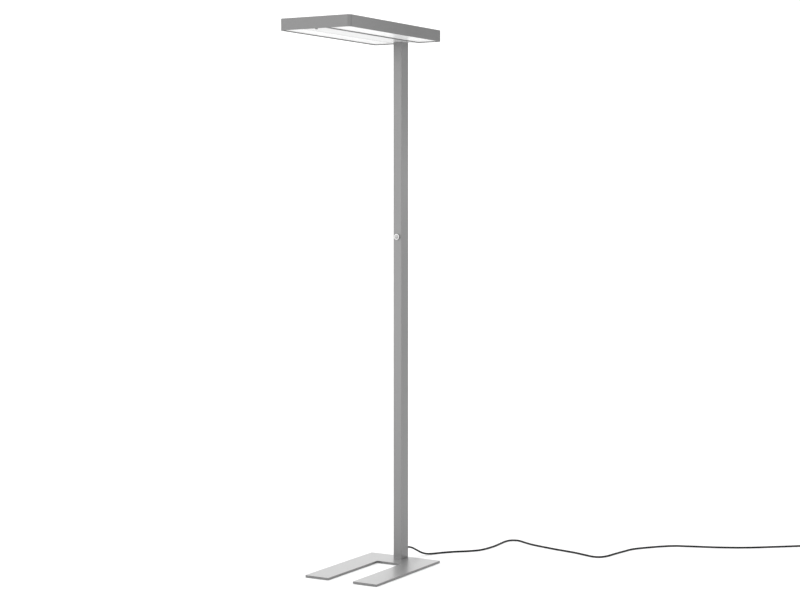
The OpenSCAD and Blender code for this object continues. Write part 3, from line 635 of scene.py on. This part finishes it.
def strap_cloth():
    """Black hook-and-loop strap with its short pile."""
    f = Finish("strap_cloth", sheen_weight=0.3, sheen_roughness=0.5)
    pile = f.cells(f.place(), 0.0006, randomness=0.8)
    cloud = f.noise(f.place(), 0.003, detail=3)
    f.set("Base Color", f.blend(0.5 * pile + 0.5 * cloud, grey(0.012), grey(0.034)))
    f.set("Roughness", f.spread(cloud, 0.78, 0.92))
    f.set("Normal", f.bump(pile, depth=0.0003, strength=0.6))
    return f.material


def zinc_steel():
    """Zinc-plated steel of screws, brackets and trays."""
    f = Finish("zinc_steel", metallic=1.0)
    cloud = f.noise(f.place(), 0.004, detail=3)
    f.set("Base Color", f.blend(cloud, (0.56, 0.57, 0.58, 1), (0.66, 0.66, 0.65, 1)))
    f.set("Roughness", f.spread(cloud, 0.25, 0.38))
    f.set("Normal", f.bump(cloud, depth=0.00004, strength=0.3, normal=f.soft_edges(0.0002)))
    return f.material


def mill_aluminium():
    """Bare rolled aluminium of the heat-sink trays."""
    f = Finish("mill_aluminium", metallic=1.0)
    grain = f.noise(f.place(scale=(1, 0.02, 1)), 0.0008, detail=3)
    f.set("Base Color", f.blend(grain, grey(0.66), grey(0.76)))
    f.set("Roughness", f.spread(grain, 0.28, 0.42))
    f.set("Normal", f.bump(grain, depth=0.00004, strength=0.3))
    return f.material


def brass_contact():
    """Plain brass of the contacts."""
    f = Finish("brass_contact", metallic=1.0)
    cloud = f.noise(f.place(), 0.002)
    f.set("Base Color", f.blend(cloud, (0.62, 0.46, 0.20, 1), (0.72, 0.55, 0.27, 1)))
    f.set("Roughness", f.spread(cloud, 0.22, 0.34))
    return f.material


def moulded(name, low, high, rough_low, rough_high, grain=0.0006, shine=0.5):
    """Moulded plastic or rubber with a fine grain."""
    f = Finish(name, specular_ior_level=shine)
    pores = f.noise(f.place(), grain, roughness=0.6)
    f.set("Base Color", f.blend(f.noise(f.place(), 0.01), low, high))
    f.set("Roughness", f.spread(pores, rough_low, rough_high))
    f.set("Normal", f.bump(pores, depth=0.00005, strength=0.4))
    return f.material


def moulded_black():
    return moulded("moulded_black", grey(0.012), grey(0.02), 0.42, 0.55)


def moulded_white():
    return moulded("moulded_white", grey(0.66), grey(0.74), 0.36, 0.46)


def lead_sheath():
    return moulded("lead_sheath", grey(0.007), grey(0.012), 0.38, 0.50, grain=0.0009, shine=0.18)


def glide_rubber():
    return moulded("glide_rubber", grey(0.03), grey(0.05), 0.7, 0.85)


def core(name, low, high):
    """Insulation of a wire's core."""
    return moulded(name, low, high, 0.35, 0.45)


def brown_core():
    return core("brown_core", (0.10, 0.035, 0.012, 1), (0.14, 0.05, 0.02, 1))


def blue_core():
    return core("blue_core", (0.01, 0.06, 0.30, 1), (0.02, 0.09, 0.38, 1))


def green_core():
    """Green that turns to yellow here and there, as on an earth wire."""
    return core("green_core", (0.06, 0.25, 0.03, 1), (0.40, 0.42, 0.02, 1))


def dark_lens():
    """Dark infrared lens with its small facets."""
    f = Finish("dark_lens", roughness=0.22, coat_weight=0.6, coat_roughness=0.08)
    facets = f.cells(f.place(), 0.0018, randomness=0.3)
    f.set("Base Color", f.blend(facets, grey(0.012), grey(0.03)))
    f.set("Normal", f.bump(facets, depth=0.0003, strength=0.25))
    return f.material


def circuit_board():
    """White solder mask on an LED board."""
    f = Finish("circuit_board", roughness=0.42)
    weave = f.noise(f.place(), 0.0015, detail=3)
    f.set("Base Color", f.blend(weave, grey(0.74), grey(0.82)))
    f.set("Normal", f.bump(weave, depth=0.00003, strength=0.3))
    return f.material


# The finish of each of the record's material slots
SLOT_FINISHES = {
    "graphite_steel": base_coat,
    "grey_aluminium": silver_coat,
    "opal_diffuser": opal_panel,
    "white_cover": cover_coat,
    "bright_metal": turned_ring,
    "steel": zinc_steel,
    "bare_aluminium": mill_aluminium,
    "brass": brass_contact,
    "black_plastic": moulded_black,
    "black_lens": dark_lens,
    "cord_black": lead_sheath,
    "white_plastic": moulded_white,
    "glide_rubber": glide_rubber,
    "board_white": circuit_board,
    "wire_brown": brown_core,
    "wire_blue": blue_core,
    "wire_green": green_core,
}


def dress(node, finish):
    """Gives all of a CAD node one finish."""
    for part in node.material_slots:
        part.material = finish


def dress_lamp():
    """Gives every CAD node and every piece made here its finish."""
    made = {slot: finish() for slot, finish in SLOT_FINISHES.items()}
    for node in nodes.values():
        for part in node.material_slots:
            part.material = made[part.material.name.split(".")[0]]
    dress(nodes["column_tube"], drawn_profile())
    dress(nodes["button_cap"], satin_cap())
    mains_lead.data.materials.append(made["cord_black"])
    for piece in relief, plug:
        piece.data.materials.append(made["black_plastic"])
    ties.data.materials.append(strap_cloth())
    spring.data.materials.append(made["steel"])


# ------------------------------------------------------------------ studio

FLOOR_REACH = 300        # metres from the lamp to the floor's edges
FLOOR_SHADES = 0.85, 0.87

# Brightness of the sky, and of its sides: (direction, tightness, what it adds)
SKY_LEVEL = 0.99
SKY_SIDES = [
    ((0.80, 0.55, 0.15), 3, -0.40),      # darker behind on the right, for the sides that face +X
    ((-0.50, -0.86, 0.10), 3, 0.95),     # bright in front on the left, for the fronts
    ((-0.50, 0.86, 0.20), 3, 0.29),      # brighter behind on the left, for the base's top
    ((0.93, -0.35, 0.10), 8, 0.80),      # narrow, on the right, for the head's rounded corner
    ((0, 0, 1), 2, 0.63),                # brighter above
]

# Soft lights: (name, place, aim, size, power in watts)
SOFT_LIGHTS = [
    ("right_rear_fill", (2.20, 2.60, 1.60), (0, 0, 1.3), 1.2, 1.86),
    ("left_front_fill", (-1.50, -2.60, 0.70), (0, 0, 0.6), 1.0, 2.0),
    ("head_side_glow", (0.80, 0.12, 2.05), (0.144, -0.55, 1.96), 0.3, 0.377),
    ("column_side_glow", (0.85, 1.40, 1.48), (0.0175, 0, 1.45), 0.3, 0.18),
]


def studio_floor():
    """Pale seamless floor, out to the horizon."""
    mesh = bmesh.new()
    bmesh.ops.create_grid(mesh, x_segments=1, y_segments=1, size=FLOOR_REACH)
    data = bpy.data.meshes.new("studio_floor")
    mesh.to_mesh(data)
    mesh.free()
    floor = bpy.data.objects.new("studio_floor", data)
    bpy.context.collection.objects.link(floor)
    f = Finish("pale_floor", roughness=0.6, specular_ior_level=0.1)
    dark, light = FLOOR_SHADES
    f.set("Base Color", f.blend(f.noise(f.place(), 0.4), grey(dark), grey(light)))
    data.materials.append(f.material)


def studio_sky():
    """White surroundings with soft bright and dark sides."""
    world = bpy.data.worlds.new("studio_sky")
    world.use_nodes = True
    bpy.context.scene.world = world
    tree = world.node_tree
    background = tree.nodes["Background"]
    way = Signal(tree, background.outputs[0]).node("ShaderNodeTexCoord", output="Generated")
    level = SKY_LEVEL
    for side, tightness, strength in SKY_SIDES:
        towards = way.along(Vector(side).normalized())
        level = level + strength * towards.at_least(0) ** tightness
    background.inputs["Color"].default_value = grey(1)
    tree.links.new(level.socket, background.inputs["Strength"])


def soft_light(name, at, towards, size, power):
    """A square soft light that the camera doesn't see."""
    lamp = bpy.data.lights.new(name, "AREA")
    lamp.shape = "SQUARE"
    lamp.size = size
    lamp.energy = power
    light = bpy.data.objects.new(name, lamp)
    light.visible_camera = False
    light.location = at
    light.rotation_euler = (Vector(towards) - Vector(at)).to_track_quat("-Z", "Y").to_euler()
    bpy.context.collection.objects.link(light)


def set_studio():
    """Floor, surroundings and lights, with colours shown as they are."""
    studio_floor()
    studio_sky()
    for light in SOFT_LIGHTS:
        soft_light(*light)
    bpy.context.scene.view_settings.view_transform = "Standard"
    bpy.context.scene.view_settings.look = "None"


# ---------------------------------------------------------------- assembly

set_camera()
relief = relief_on_column()
ties = straps_on_coil()
plug = plug_on_lead()
mains_lead = lay_lead()
spring = spring_under_cap()
dress_lamp()
set_studio()

bpy.context.view_layer.update()
